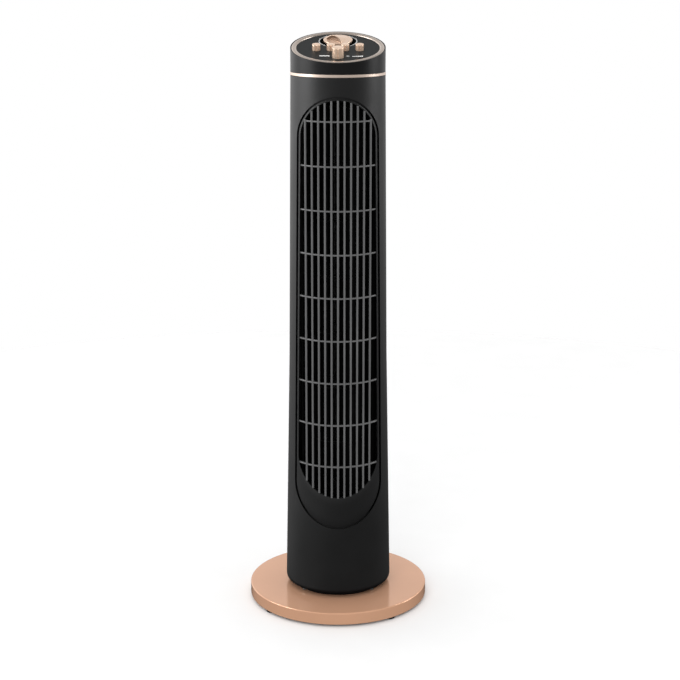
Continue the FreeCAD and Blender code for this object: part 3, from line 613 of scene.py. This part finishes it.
# The pictograms: places across and along the slope from the oscillation knob's middle, and strokes.
WAVE_START, WAVE_LENGTH, WAVE_SWING, WAVE_STROKE = -22.6 * MM, 12.4 * MM, 0.45 * MM, 1.15 * MM
WAVE_ROWS = (3.5 * MM, 5.3 * MM)
WAVE_STEPS = 24
SWITCH_X, SWITCH_S, SWITCH_RADIUS, SWITCH_STROKE = 12.0 * MM, 3.2 * MM, 1.5 * MM, 0.5 * MM
SWITCH_BAR = (3.4 * MM, 5.4 * MM)
SPEED_BARS, SPEED_START, SPEED_PITCH, SPEED_STROKE = 6, 18.4 * MM, 2.2 * MM, 1.7 * MM
SPEED_FOOT, SPEED_TOP, SPEED_GROWTH = 1.4 * MM, 3.0 * MM, 0.35 * MM


def print_marks():
    """The timer's scale with its ticks, and three plain pictograms in front of the keys."""
    shape = bmesh.new()
    low, high = panel_face, panel_face + PRINT_HEIGHT

    def stroke(path, width=SCALE_LINE):
        strip(shape, path, width, low, high, on_slope)
    first, last = -90.0 + SCALE_GAP, 270.0 - SCALE_GAP
    stroke(circle_path((0.0, 0.0), SCALE_RADIUS, first, last, 96))
    for n in range(TICKS):
        angle = radians(first + (last - first) * n / (TICKS - 1))
        inner, outer = SCALE_RADIUS + SCALE_LINE / 2.0, SCALE_RADIUS + TICK_LENGTH
        stroke([(inner * cos(angle), inner * sin(angle)), (outer * cos(angle), outer * sin(angle))])
    knob_low, knob_high = slope_box("oscillation_knob")
    knob_x = (knob_low.x + knob_high.x) / 2.0
    knob_s = (knob_low.y + knob_high.y) / 2.0
    for row in WAVE_ROWS:
        wave = [(knob_x + WAVE_START + WAVE_LENGTH * k / WAVE_STEPS,
                 knob_s + row + WAVE_SWING * sin(k * pi / 4.0)) for k in range(WAVE_STEPS + 1)]
        stroke(wave, WAVE_STROKE)
    switch_x = knob_x + SWITCH_X
    stroke(circle_path((switch_x, knob_s + SWITCH_S), SWITCH_RADIUS, 120.0, 420.0, 24), SWITCH_STROKE)
    stroke([(switch_x, knob_s + along) for along in SWITCH_BAR], SWITCH_STROKE)
    for step in range(SPEED_BARS):
        x = knob_x + SPEED_START + SPEED_PITCH * step
        stroke([(x, knob_s + SPEED_FOOT), (x, knob_s + SPEED_TOP + SPEED_GROWTH * step)], SPEED_STROKE)
    finish_piece("printed_marks", shape, print_white, "column")


def dial_recess():
    """The black ring on the panel round the timer's knob."""
    shape = bmesh.new()
    inner = slope_box("timer_knob")[1].x - DIAL_OVERLAP
    top = panel_face + PRINT_HEIGHT / 2.0
    outline = [(inner, panel_face), (DIAL_RADIUS, panel_face), (DIAL_RADIUS, top), (inner, top)]
    lathe(shape, outline, 128, lambda r, angle, h: on_slope(r * cos(angle), r * sin(angle), h))
    finish_piece("dial_recess", shape, dial_black, "column")


print_marks()
dial_recess()


# ---------------------------------------------------------------- stage

pale_floor = plastic("pale_floor", (0.74, 0.74, 0.74), 0.8, 3.0, 0.01, 0.1, 1.02)
FLOOR_RADIUS = 1.5
FLOOR_RINGS = 16
FLOOR_STEPS = 96
AMBIENT = 1.0
WHITE = (1.0, 1.0, 1.0, 1.0)
EYE = (0.0025, -1.9343, 0.8249)
LOOKING_DOWN = 13.878
SENSOR_WIDTH = 36.0
LENS = 81.8


def studio_floor():
    """A round floor that the fan neither mirrors nor gets light from."""
    shape = bmesh.new()
    rows = [[shape.verts.new((0.0, 0.0, 0.0))]]
    for ring in range(1, FLOOR_RINGS + 1):
        reach = FLOOR_RADIUS * ring / FLOOR_RINGS
        rows.append([shape.verts.new((reach * cos(2 * pi * n / FLOOR_STEPS),
                                      reach * sin(2 * pi * n / FLOOR_STEPS), 0.0))
                     for n in range(FLOOR_STEPS)])
    for n in range(FLOOR_STEPS):
        shape.faces.new((rows[0][0], rows[1][n], rows[1][(n + 1) % FLOOR_STEPS]))
    for first, second in zip(rows[1:], rows[2:]):
        join_rings(shape, second, first)
    mesh = bpy.data.meshes.new("floor")
    shape.to_mesh(mesh)
    shape.free()
    mesh.materials.append(pale_floor)
    floor = bpy.data.objects.new("floor", mesh)
    bpy.context.scene.collection.objects.link(floor)
    floor.visible_glossy = False
    floor.visible_diffuse = False


def area_light(name, place, target, size, radiance, glossy):
    """A softbox that only shows in gloss, or only lights what is dull; its face has this brightness."""
    data = bpy.data.lights.new(name, "AREA")
    data.shape = "RECTANGLE"
    data.size, data.size_y = size
    data.energy = radiance * pi * size[0] * size[1]
    lamp = bpy.data.objects.new(name, data)
    lamp.location = place
    lamp.rotation_euler = (Vector(target) - Vector(place)).to_track_quat("-Z", "Y").to_euler()
    lamp.visible_glossy = glossy
    lamp.visible_diffuse = not glossy
    bpy.context.scene.collection.objects.link(lamp)


def overhead_light():
    """Even light from a wide ceiling panel, far enough away to light the whole floor alike."""
    data = bpy.data.lights.new("overhead", "SUN")
    data.energy = 1.0
    data.angle = radians(50.0)
    lamp = bpy.data.objects.new("overhead", data)
    lamp.location = (0.0, 0.0, 3.0)
    lamp.rotation_euler = (radians(-13.0), radians(-6.0), 0.0)
    lamp.visible_glossy = False
    bpy.context.scene.collection.objects.link(lamp)


def world():
    """A white backdrop for the camera; the surround is bright behind the fan and dark in front of it."""
    scene_world = bpy.data.worlds.new("studio")
    bpy.context.scene.world = scene_world
    scene_world.use_nodes = True
    tree = scene_world.node_tree
    tree.nodes.clear()
    output = tree.nodes.new("ShaderNodeOutputWorld")
    backdrop = tree.nodes.new("ShaderNodeBackground")
    backdrop.inputs["Color"].default_value = WHITE
    backdrop.inputs["Strength"].default_value = 1.0
    surround = tree.nodes.new("ShaderNodeBackground")
    surround.inputs["Color"].default_value = WHITE
    place = tree.nodes.new("ShaderNodeTexCoord")
    parts = tree.nodes.new("ShaderNodeSeparateXYZ")
    tree.links.new(place.outputs["Generated"], parts.inputs["Vector"])
    rear = spread(tree, parts.outputs["Y"], 0.30, 0.66, -0.25, 0.6, smooth=True)
    side = spread(tree, parts.outputs["X"], 2.9, 1.25, -0.85, -0.10, smooth=True)
    low = spread(tree, parts.outputs["Z"], 0.06, 1.0, -0.33, 0.0, smooth=True)
    high = spread(tree, parts.outputs["Z"], 1.0, 0.62, 0.42, 0.72, smooth=True)
    mirrored = multiply(tree, multiply(tree, multiply(tree, rear, side), low), high)
    ray = tree.nodes.new("ShaderNodeLightPath")
    ambient = tree.nodes.new("ShaderNodeMix")
    tree.links.new(ray.outputs["Is Diffuse Ray"], ambient.inputs["Factor"])
    tree.links.new(mirrored, ambient.inputs["A"])
    ambient.inputs["B"].default_value = AMBIENT
    tree.links.new(ambient.outputs["Result"], surround.inputs["Strength"])
    choose = tree.nodes.new("ShaderNodeMixShader")
    tree.links.new(ray.outputs["Is Camera Ray"], choose.inputs["Fac"])
    tree.links.new(surround.outputs["Background"], choose.inputs[1])
    tree.links.new(backdrop.outputs["Background"], choose.inputs[2])
    tree.links.new(choose.outputs["Shader"], output.inputs["Surface"])


def camera():
    """The viewpoint: 1.93 m in front of the fan, 0.82 m up, looking down by almost 14 degrees."""
    data = bpy.data.cameras.new("camera")
    data.sensor_width = SENSOR_WIDTH
    data.lens = LENS
    eye = bpy.data.objects.new("camera", data)
    eye.location = EYE
    eye.rotation_euler = (radians(90.0 - LOOKING_DOWN), 0.0, 0.0)
    bpy.context.scene.collection.objects.link(eye)
    bpy.context.scene.camera = eye


nodes["base_cover"].visible_glossy = False
studio_floor()
world()
overhead_light()
area_light("left_softbox", (-1.70, -0.25, 1.25), (0, 0, 0.75), (1.3, 1.3), 6.5, True)
area_light("front_fill", (-0.5, -2.4, 1.30), (0, 0, 0.60), (1.6, 1.2), 4.5, False)
area_light("right_softbox", (1.75, 0.10, 1.25), (0, 0, 0.75), (0.9, 1.3), 4.2, True)
camera()
bpy.context.scene.view_settings.view_transform = "Standard"
bpy.context.scene.view_settings.look = "None"
